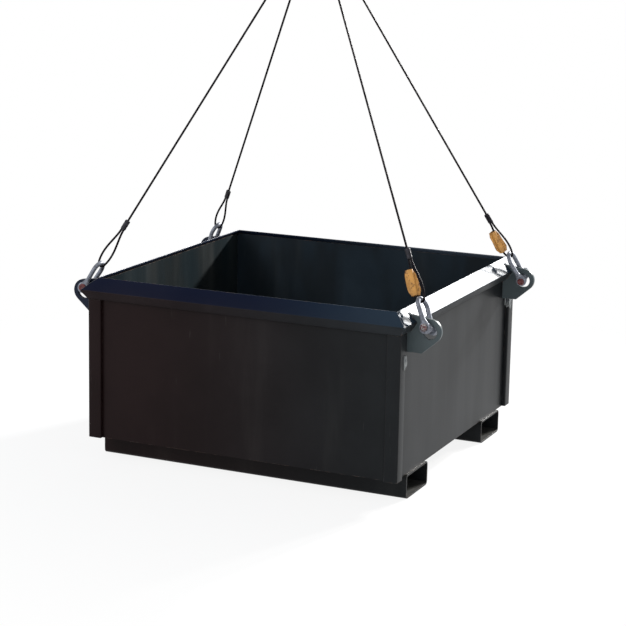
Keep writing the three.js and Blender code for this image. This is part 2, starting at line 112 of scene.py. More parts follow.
class LiftBoxPaintSettings(bpy.types.PropertyGroup):
    # The side paint is one paint: its cooler, lighter tone at the right end is a painted reflection of the
    # lamps on the glossy paint.
    side: colour("Side paint", "Brown-black paint at the left end", (0.0092, 0.004, 0.004))
    right: colour("Side paint, right", "The same paint, cooler, at the right end", (0.0084, 0.0095, 0.0106))
    # The rim lip's lighter tone at the right end is painted light, the glow beside the bright right-hand
    # slope.
    lip: colour("Rim lip paint", "Paint on the rim's lip, at the left end", (0.014, 0.0095, 0.01))
    lip_lit_right: colour("Rim lip paint, right", "The same paint at the right end", (0.015, 0.017, 0.019))
    # Faces that look up take these blue-black tones, a painted reflection of the sky; the lighter right-end
    # tone is a painted sheen.
    rim: colour("Rim slope paint", "Blue-black paint on the slopes", (0.0, 0.0046, 0.023))
    rim_right: colour("Rim slope paint, right", "The same paint at the right end", (0.022, 0.042, 0.068))
    inside: colour("Inside paint", "Dull paint inside the box", (0.019, 0.028, 0.037))
    # The left wall's inside tone is a darker copy of the inside paint: painted shade, that wall lying in
    # the box's own shadow.
    inside_left: colour("Inside paint, left", "The same paint on the left wall", (0.006, 0.0108, 0.0132))
    # The right lugs take a lighter copy of the same lug paint: painted light, not another paint.
    plate: colour("Lug paint", "Glossy paint on the left lugs", (0.004, 0.008, 0.02))
    plate_lit_right: colour("Lug paint, right", "The same paint on the right lugs", (0.062, 0.078, 0.083))
    # The edge paint grows lighter towards the right end: a painted highlight along the rim's edges.
    edge: colour("Edge paint", "Paint on the rim's edges, at the left end", (0.004, 0.01, 0.027))
    edge_highlight_right: colour("Edge paint, right", "The same paint at the right end", (0.08, 0.105, 0.14))
    dust: colour("Dust", "Dust that lies on the paint", (0.13, 0.125, 0.11))
    primer: colour("Bare edge", "Worn steel where the paint has gone", (0.16, 0.15, 0.14))
    rust: colour("Rust", "Rust in chips and at the welds", (0.09, 0.032, 0.013))
    bead: colour("Weld", "Weld beads that show through thin paint", (0.035, 0.036, 0.036))
    bare: colour("Bare weld", "Later welds that were left unpainted", (0.18, 0.19, 0.192))
    roughness: amount("Roughness", "Roughness of clean paint", 0.34)
    sheen: amount("Gloss level", "Specular level of the paint", 0.09)


class LiftBoxRiggingSettings(bpy.types.PropertyGroup):
    strands: IntProperty(name="Strands", description="Strands in the wire rope", min=3, max=9, default=6)
    rope_diameter: length("Rope diameter", "Diameter of the wire rope", 8 * MM)
    lay_length: length("Lay", "Length in which a strand goes once round", 52 * MM)
    strand_gap: length("Strand gap", "From a sleeve's middle line to the strand's near side", 0.3 * MM)
    hook_bend: length("Hook bend", "Bend radius of the upper eyes, on the strand's middle line", 24 * MM)
    bow_rod: length("Bow rod", "Diameter of the shackles' rod", 16 * MM)
    ear_radius: length("Ear radius", "Radius of the shackles' ears", 20 * MM)
    ear_proud: length("Ear stand", "How far an ear stands outside its rod", 3 * MM)
    jaw: length("Jaw", "Space between the shackles' ears", 32 * MM)
    pin_radius: length("Pin radius", "Radius of the shackles' pins", 10 * MM)
    head_height: length("Head height", "Thickness of the pins' heads", 7 * MM)
    thread_length: length("Thread", "Length of the pins' thread", 20 * MM)
    thread_pitch: length("Thread pitch", "Pitch of the pins' thread", 2.5 * MM)
    tag_bulge: length("Tag bulge", "How far the tags' flaps stand open", 4.5 * MM)
    tag_slant: length("Tag slant", "How far the tags' edges are drawn aside at top and foot", 4 * MM)
    wire: colour("Wire", "Dark oiled wire", (0.009, 0.0065, 0.0095))
    sleeve: colour("Sleeve", "Dark pressed sleeves", (0.01, 0.009, 0.013))
    zinc: colour("Zinc", "Dulled zinc on the shackles", (0.23, 0.245, 0.285))
    lacquer: colour("Lacquer", "Red lacquer on the pins", (0.125, 0.03, 0.03))
    tag: colour("Tag", "Amber tag sheet", (0.67, 0.325, 0.075))
    tag_grime: colour("Tag grime", "Brown grime on the tags", (0.16, 0.06, 0.015))
    bloom: colour("Bloom", "White bloom on the zinc", (0.36, 0.37, 0.4))
    dirt: colour("Zinc dirt", "Dirt on the zinc", (0.055, 0.045, 0.038))
    rubbed_pin: colour("Bare pin", "Steel where a pin's lacquer is gone", (0.17, 0.16, 0.16))
    rubbed_wire: colour("Rubbed wire", "Brighter crowns of the ropes' strands", (0.14, 0.13, 0.125))
    rubbed_sleeve: colour("Rubbed sleeve", "Brighter edges of the sleeves", (0.22, 0.22, 0.22))


class LiftBoxStageSettings(bpy.types.PropertyGroup):
    floor: colour("Floor", "Colour of the floor", (0.9, 0.9, 0.9))
    focal: FloatProperty(
        name="Focal length", description="Lens in millimetres on a 36 mm sensor", min=1, default=110.93
    )
    distance: length("Camera distance", "From the camera to the middle of the rim", 7.133)
    azimuth: angle("Azimuth", "Camera bearing from the front", 24.362)
    elevation: angle("Elevation", "Camera height above the rim's plane", 11.235)
    roll: angle("Roll", "Turn of the camera about its own axis", 1.083)


# Mesh helpers


def new_bmesh():
    bm = bmesh.new()
    bm.loops.layers.uv.new("UVMap")
    return bm


def new_object(bm, name, material, sharp_angle=40):
    """Makes an object at the origin from a bmesh, with its place in its mesh."""
    mesh = bpy.data.meshes.new(name)
    bm.normal_update()
    bm.to_mesh(mesh)
    bm.free()
    mesh.shade_smooth()
    mesh.set_sharp_from_angle(angle=math.radians(sharp_angle))
    piece = bpy.data.objects.new(name, mesh)
    bpy.context.scene.collection.objects.link(piece)
    mesh.materials.append(material)
    return piece


def fit(piece, body, nodes=()):
    """Says what the piece rides on and which solids it stands for, and hides these."""
    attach(piece, body)
    if nodes:
        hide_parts(*nodes)
    return piece


def settle_modifiers(piece):
    """Puts the result of the piece's modifiers into its mesh and takes them off."""
    graph = bpy.context.evaluated_depsgraph_get()
    mesh = bpy.data.meshes.new_from_object(piece.evaluated_get(graph), depsgraph=graph)
    mesh.name = piece.name
    piece.modifiers.clear()
    piece.data = mesh


def merged_copy(node):
    """A bmesh of a solid's own faces, with its triangles joined again into flat faces."""
    bm = new_bmesh()
    bm.from_mesh(frame["nodes"][node].data)
    bmesh.ops.remove_doubles(bm, verts=bm.verts, dist=0.01 * MM)
    bmesh.ops.dissolve_limit(bm, angle_limit=math.radians(1), verts=bm.verts, edges=bm.edges)
    return bm


def fold_edges(bm):
    """The long outward edges between two wide faces, where a sheet was folded."""
    shortest, narrowest = 300 * MM, 8 * MM
    found = []
    for edge in bm.edges:
        if len(edge.link_faces) != 2 or edge.calc_length() < shortest or not edge.is_convex:
            continue
        if edge.calc_face_angle() < math.radians(20):
            continue
        if all(face.calc_area() / edge.calc_length() > narrowest for face in edge.link_faces):
            found.append(edge)
    return found


def round_edges(bm, edges, radius, segments):
    bmesh.ops.bevel(
        bm, geom=edges, offset=radius, offset_type="OFFSET", segments=segments, profile=0.5,
        affect="EDGES", material=-1, clamp_overlap=True,
    )


def add_piece(bm, name, material, body, nodes=(), sharp_angle=60, edge=0.0, segments=2):
    """Makes a piece, rounds its edges where edge is above 0, and says where it belongs."""
    piece = new_object(bm, name, material, sharp_angle)
    if edge > 0:
        bevel = piece.modifiers.new("Cut edges", "BEVEL")
        bevel.width = edge
        bevel.segments = segments
        bevel.limit_method = "ANGLE"
        bevel.angle_limit = math.radians(32)
        bevel.harden_normals = True
    return fit(piece, body, nodes)


class Route:
    """A line through points, with the direction, and the way across it, at any distance along it."""

    def __init__(self, points, side):
        self.points = [Vector(p) for p in points]
        self.side = Vector(side).normalized()
        self.marks = [0.0]
        for a, b in zip(self.points, self.points[1:]):
            self.marks.append(self.marks[-1] + (b - a).length)
        self.length = self.marks[-1]

    def at(self, distance):
        distance = min(max(distance, 0.0), self.length)
        high = min(bisect_right(self.marks, distance), len(self.marks) - 1)
        low = high - 1
        span = self.marks[high] - self.marks[low]
        share = (distance - self.marks[low]) / span
        before = self.direction(low)
        after = self.direction(high)
        along = before.lerp(after, share).normalized()
        place = self.points[low].lerp(self.points[high], share)
        across = along.cross(self.side).normalized()
        return place, along, across

    def direction(self, index):
        first = self.points[max(index - 1, 0)]
        last = self.points[min(index + 1, len(self.points) - 1)]
        return (last - first).normalized()


def add_tube(bm, route, section, rings, sides):
    """Wraps a grid round a route. section(turn, distance) gives the reach across and sideways."""
    layer = bm.loops.layers.uv.active
    made = bmesh.ops.create_grid(bm, x_segments=rings, y_segments=sides, size=0.5)
    spots = {}
    for vert in made["verts"]:
        spots[vert] = (vert.co.x + 0.5, vert.co.y + 0.5)
    faces = {face for vert in made["verts"] for face in vert.link_faces}
    for face in faces:
        for loop in face.loops:
            along, around = spots[loop.vert]
            loop[layer].uv = (along * route.length, around)
    for vert, (along, around) in spots.items():
        distance = along * route.length
        place, _, across = route.at(distance)
        reach, sideways = section(around * 2 * math.pi, distance)
        vert.co = place + across * reach + route.side * sideways
    bmesh.ops.remove_doubles(bm, verts=made["verts"], dist=OVERLAP)
    ends = [edge for edge in bm.edges if edge.is_boundary]
    bmesh.ops.holes_fill(bm, edges=ends, sides=0)


def turned(bm, profile, steps):
    """Spins a profile of (radius, place along X) about the X axis into a closed body."""
    verts = [bm.verts.new((along, radius, 0)) for radius, along in profile]
    edges = [bm.edges.new(pair) for pair in zip(verts, verts[1:])]
    bmesh.ops.spin(
        bm, geom=verts + edges, cent=(0, 0, 0), axis=(1, 0, 0), dvec=(0, 0, 0),
        angle=2 * math.pi, steps=steps, use_merge=True, use_duplicate=False,
    )
    bmesh.ops.remove_doubles(bm, verts=bm.verts, dist=OVERLAP)
    bmesh.ops.recalc_face_normals(bm, faces=bm.faces)


def smooth_step(value):
    value = min(max(value, 0.0), 1.0)
    return value * value * (3 - 2 * value)


# The sling legs, read from the frame's joints


class Leg:
    """One sling leg: its pin's middle, and its axes along the pin, across it and along the pull."""

    def __init__(self, corner):
        self.corner = corner
        self.side = -1 if "left" in corner else 1
        self.origin = Vector(JOINTS["shackle_swing_" + corner]["pos_m"])
        self.crown = Vector(JOINTS["sling_swing_" + corner]["pos_m"])
        self.pull = (self.crown - self.origin).normalized()
        pin = Vector(JOINTS["shackle_swing_" + corner]["axis"]) * self.side
        self.pin = (pin - self.pull * pin.dot(self.pull)).normalized()
        self.across = self.pull.cross(self.pin)
        self.crown_height = (self.crown - self.origin).length
        self.matrix = Matrix((self.pin, self.across, self.pull)).transposed().to_4x4()
        self.matrix.translation = self.origin

    def reach(self, node, way):
        """The least and the greatest distance of a solid of this leg from the pin's middle, along a way."""
        found = [(vert.co - self.origin).dot(way) for vert in frame["nodes"][node].data.vertices]
        return min(found), max(found)

    def point(self, along_pin, across, along_pull):
        return self.matrix @ Vector((along_pin, across, along_pull))


def strand_section(settings):
    """The outline of a wire rope: strands side by side that wind round as the rope goes on."""
    radius = settings.rope_diameter / 2
    half_angle = math.pi / settings.strands
    strand = radius * math.sin(half_angle) / (1 + math.sin(half_angle))
    middle = radius - strand
    least = 0.74 * radius

    def section(turn, distance):
        wound = turn - 2 * math.pi * distance / settings.lay_length
        off = (wound + half_angle) % (2 * half_angle) - half_angle
        room = strand * strand - (middle * math.sin(off)) ** 2
        reach = max(middle * math.cos(off) + math.sqrt(max(room, 0.0)), least)
        return reach * math.cos(turn), reach * math.sin(turn)

    return section


# Materials


class Nodes:
    """Short calls for the nodes of one tree."""

    def __init__(self, tree):
        self.tree = tree

    def feed(self, socket, value):
        """Links another node's output to a socket, or sets the socket to a number or a colour."""
        if isinstance(value, bpy.types.NodeSocket):
            self.tree.links.new(value, socket)
        elif socket.type == "RGBA":
            socket.default_value = (*value, 1.0)
        else:
            socket.default_value = value

    def node(self, kind, output, inputs, **values):
        """Adds a node, feeds its inputs and gives one of its outputs."""
        node = self.tree.nodes.new(kind)
        for name, value in values.items():
            setattr(node, name, value)
        for name, value in inputs.items():
            self.feed(node.inputs[name], value)
        return node.outputs[output]

    def maths(self, operation, first, second):
        return self.node("ShaderNodeMath", "Value", {0: first, 1: second}, operation=operation)

    def seen(self):
        """1 for rays from the camera, also by way of gloss or clear matter, and 0 for the light's own."""
        camera = self.node("ShaderNodeLightPath", "Is Camera Ray", {})
        paths = camera.node.outputs
        either = self.maths("MAXIMUM", camera, paths["Is Glossy Ray"])
        return self.maths("MAXIMUM", either, paths["Is Transmission Ray"])


class Paint(Nodes):
    """One node material and what its finish needs."""

    SOCKETS = {
        "colour": "Base Color",
        "roughness": "Roughness",
        "metallic": "Metallic",
        "level": "Specular IOR Level",
    }

    def __init__(self, name):
        self.material = bpy.data.materials.new(name)
        self.material.use_nodes = True
        super().__init__(self.material.node_tree)
        self.shader = self.tree.nodes["Principled BSDF"]
        self.places = self.tree.nodes.new("ShaderNodeTexCoord").outputs

    def place(self, scale, source="Object"):
        return self.node("ShaderNodeMapping", "Vector", {"Scale": scale, "Vector": self.places[source]})

    def noise(self, scale, detail=4.0, roughness=0.55, stretch=(1, 1, 1)):
        inputs = {"Scale": scale, "Detail": detail, "Roughness": roughness, "Vector": self.place(stretch)}
        return self.node("ShaderNodeTexNoise", "Fac", inputs)

    def ramp(self, source, low, high, amount=1.0):
        """0 below low and amount above high."""
        inputs = {"Value": source, "From Min": low, "From Max": high, "To Max": amount}
        return self.node("ShaderNodeMapRange", "Result", inputs, interpolation_type="SMOOTHSTEP")

    def span(self, source, low, high):
        """Stretches 0 to 1 over low to high."""
        return self.node("ShaderNodeMapRange", "Result", {"Value": source, "To Min": low, "To Max": high})

    def mix(self, share, first, second):
        """Goes from the first colour to the second as share goes from 0 to 1."""
        node = self.tree.nodes.new("ShaderNodeMix")
        node.data_type = "RGBA"
        sockets = {socket.identifier: socket for socket in node.inputs}
        for key, value in (("Factor_Float", share), ("A_Color", first), ("B_Color", second)):
            self.feed(sockets[key], value)
        return next(socket for socket in node.outputs if socket.identifier == "Result_Color")

    def bump(self, *heights):
        """Chains bumps of (height, distance in metres, strength) into the shader's normal."""
        normal = {}
        for height, distance, strength in heights:
            inputs = {"Height": height, "Distance": distance, "Strength": strength, **normal}
            normal = {"Normal": self.node("ShaderNodeBump", "Normal", inputs)}
        self.feed(self.shader.inputs["Normal"], normal["Normal"])

    def upward(self):
        """How much a face looks up, from 0 to 1."""
        normal = self.node("ShaderNodeNewGeometry", "Normal", {})
        return self.ramp(self.node("ShaderNodeSeparateXYZ", "Z", {"Vector": normal}), 0.2, 1.0)

    def edge_wear(self, radius, amount):
        """Near amount along outward edges, where a rounded normal leans away from the true one."""
        rounded = self.node("ShaderNodeBevel", "Normal", {"Radius": radius}, samples=4)
        true = self.node("ShaderNodeNewGeometry", "True Normal", {})
        cosine = self.node("ShaderNodeVectorMath", "Value", {0: rounded, 1: true}, operation="DOT_PRODUCT")
        return self.ramp(cosine, 0.985, 0.90, amount)

    def finish(self, **values):
        for name, value in values.items():
            self.feed(self.shader.inputs[self.SOCKETS[name]], value)
        return self.material


def shade(tone, factor):
    return tuple(factor * part for part in tone)


def painted_steel(name, settings, left, right, top=(), dust=0.5, wear=1.0, gloss=1.0, stain=0.0):
    """Glossy dark paint with runs, dust, fine scratches and worn edges.

    Left, right and top name tones of the settings: the tone goes from left at the left end to right at the
    right end, and top is such a pair for faces that look up. A lighter or cooler right end is painted
    light, the lamps' light and reflections on that side; the top tones are a painted reflection of the sky.
    """
    paint = Paint(name)
    ends = [getattr(settings, end) for end in (left, right)]
    clouds = paint.noise(3.2, 6)
    runs = paint.noise(7.0, 5, stretch=(1, 1, 0.12))
    grain = paint.noise(420, 2)
    scratches = paint.noise(95, 3, 0.7, stretch=(1, 1, 0.05))
    spot = paint.node("ShaderNodeSeparateXYZ", "X", {"Vector": paint.places["Object"]})
    left_end, right_end = -0.45, 0.60
    # This ramp carries the painted light: towards the right end the tone moves to the lit right-end tone.
    share = paint.ramp(spot, left_end, right_end)
    lighter = paint.mix(share, *[[min(1.0, 1.5 * part + 0.002) for part in end] for end in ends])
    tone = paint.mix(paint.ramp(clouds, 0.35, 0.70, 0.6), paint.mix(share, *ends), lighter)
    tone = paint.mix(paint.ramp(runs, 0.52, 0.75, 0.5), tone, lighter)
    if stain:
        patches = paint.ramp(paint.noise(5.0, 3, stretch=(1, 1, 0.3)), 0.44, 0.62, stain)
        tone = paint.mix(patches, tone, shade(settings.dust, 0.1))
    # Faces that look up take the top tones: a painted sky reflection, with a painted sheen towards the
    # right end.
    if top:
        sky_reflection_tones = [getattr(settings, end) for end in top]
        tone = paint.mix(paint.upward(), tone, paint.mix(paint.ramp(spot, 0.0, 0.70), *sky_reflection_tones))
    lying = paint.maths("MULTIPLY", paint.upward(), paint.span(paint.ramp(clouds, 0.3, 0.8), 0.25, 0.8))
    film = paint.ramp(runs, 0.50, 0.80, 0.10)
    dusty = paint.maths("MULTIPLY", paint.maths("MAXIMUM", lying, film), dust)
    tone = paint.mix(dusty, tone, settings.dust)
    tone = paint.mix(paint.ramp(scratches, 0.69, 0.76, 0.12 * wear), tone, settings.dust)
    rubbed = paint.ramp(paint.noise(38, 5), 0.46, 0.60)
    worn = paint.maths("MULTIPLY", paint.edge_wear(2.5 * MM, 0.75 * wear), rubbed)
    bare = paint.mix(paint.ramp(grain, 0.4, 0.6), settings.primer, settings.rust)
    rough = paint.span(runs, settings.roughness - 0.09, settings.roughness + 0.14)
    rough = paint.maths("ADD", rough, paint.maths("MULTIPLY", dusty, 0.45))
    rough = paint.maths("ADD", rough, paint.maths("MULTIPLY", worn, 0.2))
    paint.bump(
        (paint.noise(2.4, 2, stretch=(1, 1, 0.35)), 6 * MM, 0.35),
        (paint.noise(160, 3), 0.25 * MM, 0.12),
        (grain, 0.05 * MM, 0.3),
    )
    return paint.finish(colour=paint.mix(worn, tone, bare), roughness=rough, level=settings.sheen * gloss)


def weld_bead(name, settings, metal, cleaned):
    """Weld metal under thin paint, or bare where cleaned is above 0."""
    paint = Paint(name)
    clouds = paint.noise(60, 4)
    # The paint over the welds is the rim's slope tone, whose blue is a painted reflection of the sky.
    tone = paint.mix(paint.ramp(clouds, 0.42 - cleaned, 0.62 - cleaned), settings.rim, metal)
    rusted = paint.ramp(paint.noise(140, 3), 0.60 + cleaned, 0.72 + cleaned)
    paint.bump((paint.noise(500, 3), 0.3 * MM, 0.5))
    tone = paint.mix(rusted, tone, settings.rust)
    return paint.finish(colour=tone, roughness=paint.span(clouds, 0.35, 0.65), metallic=0.4)


def galvanised_steel(name, settings):
    """Dulled zinc: soft spangles, white bloom and dirt."""
    paint = Paint(name)
    cells = paint.node("ShaderNodeTexVoronoi", "Color", {"Scale": 160, "Vector": paint.place((1, 1, 1))})
    spangle = paint.node("ShaderNodeSeparateColor", "Red", {"Color": cells})
    tone = paint.mix(spangle, shade(settings.zinc, 0.62), settings.zinc)
    tone = paint.mix(paint.ramp(paint.noise(70, 5), 0.55, 0.75, 0.5), tone, settings.bloom)
    dirt = paint.ramp(paint.noise(45, 6, 0.65), 0.52, 0.72, 0.8)
    rough = paint.span(spangle.node.outputs["Green"], 0.42, 0.58)
    rough = paint.maths("ADD", rough, paint.maths("MULTIPLY", dirt, 0.25))
    paint.bump((paint.noise(260, 4), 0.25 * MM, 0.4), (paint.noise(900, 2), 0.06 * MM, 0.4))
    tone = paint.mix(dirt, tone, settings.dirt)
    return paint.finish(colour=tone, roughness=rough, metallic=0.35, level=0.15)


def lacquered_steel(name, settings, chipped):
    """Red lacquer over zinc; chipped goes from 0, nearly whole, to 1, nearly gone."""
    paint = Paint(name)
    red = settings.lacquer
    tone = paint.mix(paint.ramp(paint.noise(90, 4), 0.4, 0.7), red, shade(red, 0.6))
    whole = 0.63 - 0.25 * chipped
    chips = paint.ramp(paint.noise(210, 4), whole, whole + 0.05)
    bare = paint.maths("MAXIMUM", paint.edge_wear(1.2 * MM, 0.8), chips)
    paint.bump((paint.noise(300, 3), 0.15 * MM, 0.4))
    tone = paint.mix(bare, tone, settings.rubbed_pin)
    rough, metallic = paint.span(bare, 0.42, 0.35), paint.span(bare, 0.0, 0.8)
    return paint.finish(colour=tone, roughness=rough, metallic=metallic, level=0.2)


def wire_rope_steel(name, settings):
    """Oiled wires that run nearly straight along the rope, with brighter rubbed crowns."""
    paint = Paint(name)
    inputs = {"Scale": 9.0, "Distortion": 0.4, "Vector": paint.place((30, 1, 1), "UV")}
    wires = paint.node("ShaderNodeTexWave", "Fac", inputs, bands_direction="Y")
    # The wire tone is darker in the grooves between the wires: painted shade.
    tone = paint.mix(wires, shade(settings.wire, 0.4), settings.wire)
    rubbed = paint.ramp(paint.noise(26, 5), 0.56, 0.72, 0.12)
    paint.bump((wires, 0.25 * MM, 0.7))
    tone = paint.mix(rubbed, tone, settings.rubbed_wire)
    return paint.finish(colour=tone, roughness=paint.span(rubbed, 0.42, 0.55), metallic=0.2, level=0.08)


def pressed_sleeve(name, settings):
    paint = Paint(name)
    patches = paint.ramp(paint.noise(80, 5), 0.45, 0.7)
    tone = paint.mix(patches, settings.sleeve, shade(settings.sleeve, 2.2))
    tone = paint.mix(paint.edge_wear(1.5 * MM, 0.35), tone, settings.rubbed_sleeve)
    paint.bump((paint.noise(200, 3), 0.2 * MM, 0.4))
    rough = paint.span(paint.noise(120, 3), 0.38, 0.6)
    return paint.finish(colour=tone, roughness=rough, metallic=0.2, level=0.25)


def tag_sheet_material(name, settings):
    """Amber sheet, creased and grimy, with nothing written on it."""
    paint = Paint(name)
    tone = paint.mix(paint.ramp(paint.noise(34, 4), 0.35, 0.7), settings.tag, shade(settings.tag, 0.72))
    creases = paint.noise(70, 6, 0.7, stretch=(1, 1, 0.4))
    for grime in (paint.ramp(creases, 0.53, 0.62, 0.85), paint.edge_wear(3.0 * MM, 0.7)):
        tone = paint.mix(grime, tone, settings.tag_grime)
    paint.bump((creases, 0.8 * MM, 0.5), (paint.noise(600, 3), 0.08 * MM, 0.4))
    return paint.finish(colour=tone, roughness=paint.span(creases, 0.45, 0.75))


# Where a paint's right tone differs from its left one, the difference is painted light; the left wall's
# darker inside paint is painted shade.
PAINTS = {
    "side_paint": {"left": "side", "right": "right"},
    "rim_paint": {
        "left": "lip", "right": "lip_lit_right", "top": ("rim", "rim_right"), "dust": 0.05, "gloss": 0.35,
    },
    "inside_paint": {"left": "inside", "right": "inside", "dust": 1.0, "wear": 1.4, "stain": 0.45},
    "inside_left_paint": {
        "left": "inside_left", "right": "inside_left", "dust": 1.0, "wear": 1.4, "stain": 0.45,
    },
    "plate_paint": {"left": "plate", "right": "plate_lit_right", "dust": 0.3, "gloss": 1.8},
    "edge_paint": {"left": "edge", "right": "edge_highlight_right", "dust": 0.1, "gloss": 4.0},
}


def material(name, make, *values, **options):
    """The material of that name, made the first time that a piece asks for it."""
    return bpy.data.materials.get(name) or make(name, *values, **options)


def box_paint(context, name):
    return material(name, painted_steel, context.scene.lift_box_paint, **PAINTS[name])


# Stage


class LIFTBOX_OT_stage(bpy.types.Operator):
    """Floor, world, lamps and camera"""

    bl_idname = "liftbox.stage"
    bl_label = "Stage"

    def execute(self, context):
        stage = context.scene.lift_box_stage
        self.add_floor(stage)
        self.add_world(context)
        self.add_lamps(context)
        self.add_camera(context, stage)
        context.scene.view_settings.view_transform = "Standard"
        return {"FINISHED"}

    def add_floor(self, stage):
        """A wide floor that is seen pure white away from the box and takes a soft shadow near it."""
        bm = new_bmesh()
        bmesh.ops.create_grid(bm, x_segments=1, y_segments=1, size=40)
        bmesh.ops.translate(bm, verts=bm.verts, vec=(0, 0, -0.5 * MM))
        paint = Paint("floor_white")
        paint.finish(colour=stage.floor, roughness=0.9, level=0.0)
        away = paint.node("ShaderNodeVectorMath", "Value", {0: paint.places["Object"]}, operation="LENGTH")
        near_share, shadow_start, shadow_end = 0.87, 0.8, 2.4
        glowing = paint.span(paint.ramp(away, shadow_start, shadow_end), near_share, 1.0)
        glow = paint.node("ShaderNodeEmission", "Emission", {})
        share = paint.maths("MULTIPLY", paint.seen(), glowing)
        inputs = {"Fac": share, 1: paint.shader.outputs["BSDF"], 2: glow}
        shown = paint.node("ShaderNodeMixShader", "Shader", inputs)
        paint.feed(paint.tree.nodes["Material Output"].inputs["Surface"], shown)
        new_object(bm, "floor", paint.material)

    def add_world(self, context):
        """White where it is seen, and a dimmer cool light on the pieces."""
        world = bpy.data.worlds.new("studio")
        context.scene.world = world
        world.use_nodes = True
        world.node_tree.nodes.clear()
        nodes = Nodes(world.node_tree)
        white = nodes.node("ShaderNodeBackground", "Background", {"Color": (1, 1, 1)})
        cool = {"Color": (0.93, 0.96, 1.0), "Strength": 0.55}
        fill = nodes.node("ShaderNodeBackground", "Background", cool)
        shown = nodes.node("ShaderNodeMixShader", "Shader", {"Fac": nodes.seen(), 1: fill, 2: white})
        out = world.node_tree.nodes.new("ShaderNodeOutputWorld")
        nodes.feed(out.inputs["Surface"], shown)

    def add_lamps(self, context):
        """A key and a strip from behind, which the right-hand rim mirrors, and a wide soft front lamp."""
        middle = sum(cad_bounds, Vector()) / 2
        rim_middle = sum(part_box("rim_rail_right"), Vector()) / 2
        away = 9
        key = middle + Vector((0.40, 0.84, 0.33)).normalized() * away
        strip = rim_middle + Vector((0.21, 0.89, 0.40)).normalized() * away
        front = Vector((-3.2, -4.2, 3.4))
        for name, place, aim, size, energy, tint in (
            ("key", key, middle, (0.6, 0.6), 800, (1.0, 0.97, 0.93)),
            ("rim_strip", strip, rim_middle, (0.8, 0.5), 1650, (1.0, 1.0, 1.0)),
            ("front_fill", front, middle, (3.0, 3.0), 120, (0.95, 0.97, 1.0)),
        ):
            data = bpy.data.lights.new(name, "AREA")
            data.shape = "RECTANGLE"
            data.size, data.size_y = size
            data.energy = energy
            data.color = tint
            lamp = bpy.data.objects.new(name, data)
            lamp.location = place
            lamp.rotation_euler = (aim - place).to_track_quat("-Z", "Y").to_euler()
            lamp.visible_camera = False
            context.scene.collection.objects.link(lamp)

    def add_camera(self, context, stage):
        data = bpy.data.cameras.new("camera")
        data.lens = stage.focal
        data.sensor_width = 36
        data.shift_x = 0.0051
        data.shift_y = -0.0743
        data.clip_end = 100
        camera = bpy.data.objects.new("camera", data)
        context.scene.collection.objects.link(camera)
        back = Vector((
            math.sin(stage.azimuth) * math.cos(stage.elevation),
            -math.cos(stage.azimuth) * math.cos(stage.elevation),
            math.sin(stage.elevation),
        ))
        right = Vector((math.cos(stage.azimuth), math.sin(stage.azimuth), 0))
        target = Vector((0, 0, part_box("rim_rail_front")[1].z))
        turn = Matrix((right, back.cross(right), back)).transposed().to_4x4()
        place = Matrix.Translation(target + back * stage.distance)
        camera.matrix_world = place @ turn @ Matrix.Rotation(stage.roll, 4, "Z")
        context.scene.camera = camera


# Slings


def strand_at_share(handles, share):
    rest = 1 - share
    weights = (rest**3, 3 * rest**2 * share, 3 * rest * share**2, share**3)
    across = sum(weight * handle[0] for weight, handle in zip(weights, handles))
    away = sum(weight * handle[1] for weight, handle in zip(weights, handles))
    return across, away


def eye_points(offset, bend_away, bend_radius):
    """A soft eye as (across, away from the sleeve): a swelling strand, a bend, and the strand back."""
    leave_angle = math.pi / 10
    outward, back = math.sin(leave_angle), math.cos(leave_angle)
    touch = (bend_radius * back, bend_away + bend_radius * outward)
    swell = 0.4 * bend_away
    handles = [
        (offset, 0),
        (offset, 0.3 * bend_away),
        (touch[0] + swell * outward, touch[1] - swell * back),
        touch,
    ]
    strand_steps, bend_steps = 26, 22
    strand = [strand_at_share(handles, i / strand_steps) for i in range(strand_steps)]
    bend = []
    for i in range(bend_steps + 1):
        angle = leave_angle + (math.pi - 2 * leave_angle) * i / bend_steps
        bend.append((bend_radius * math.cos(angle), bend_away + bend_radius * math.sin(angle)))
    return strand + bend + [(-across, away) for across, away in reversed(strand)]


class LIFTBOX_OT_sleeves(bpy.types.Operator):
    """Pressed sleeves that close the eyes"""

    bl_idname = "liftbox.sleeves"
    bl_label = "Sleeves"

    def execute(self, context):
        rigging = context.scene.lift_box_rigging
        dark = material("pressed_sleeve", pressed_sleeve, rigging)
        for corner in CORNERS:
            leg = Leg(corner)
            for name, node in (("sleeve_", "lower_ferrule_"), ("top_sleeve_", "upper_ferrule_")):
                low, high = leg.reach(node + corner, leg.pull)
                half_width = leg.reach(node + corner, leg.across)[1]
                half_thickness = leg.reach(node + corner, leg.pin)[1]
                route = Route([leg.point(0, 0, low), leg.point(0, 0, high)], leg.pin)
                bm = new_bmesh()
                section = self.sleeve_section(high - low, half_width, half_thickness)
                add_tube(bm, route, section, rings=48, sides=40)
                add_piece(bm, name + corner, dark, "sling_" + corner, [node + corner])
        return {"FINISHED"}

    def sleeve_section(self, long, half_width, half_thickness):
        """A squarish oval with rounded ends and three shallow marks of the press."""
        round_end, end_share = 5 * MM, 0.80
        press_depth, presses, squareness = 0.035, 3, 0.82

        def section(turn, distance):
            share = min(min(distance, long - distance) / round_end, 1.0)
            taper = end_share + (1 - end_share) * math.sqrt(max(0.0, 1 - (1 - share) ** 2))
            marks = 0.5 + 0.5 * math.cos(2 * presses * math.pi * distance / long)
            cosine, sine = math.cos(turn), math.sin(turn)
            across = half_width * math.copysign(abs(cosine) ** squareness, cosine)
            sideways = half_thickness * math.copysign(abs(sine) ** squareness, sine)
            return across * taper * (1 - press_depth * marks), sideways * taper

        return section


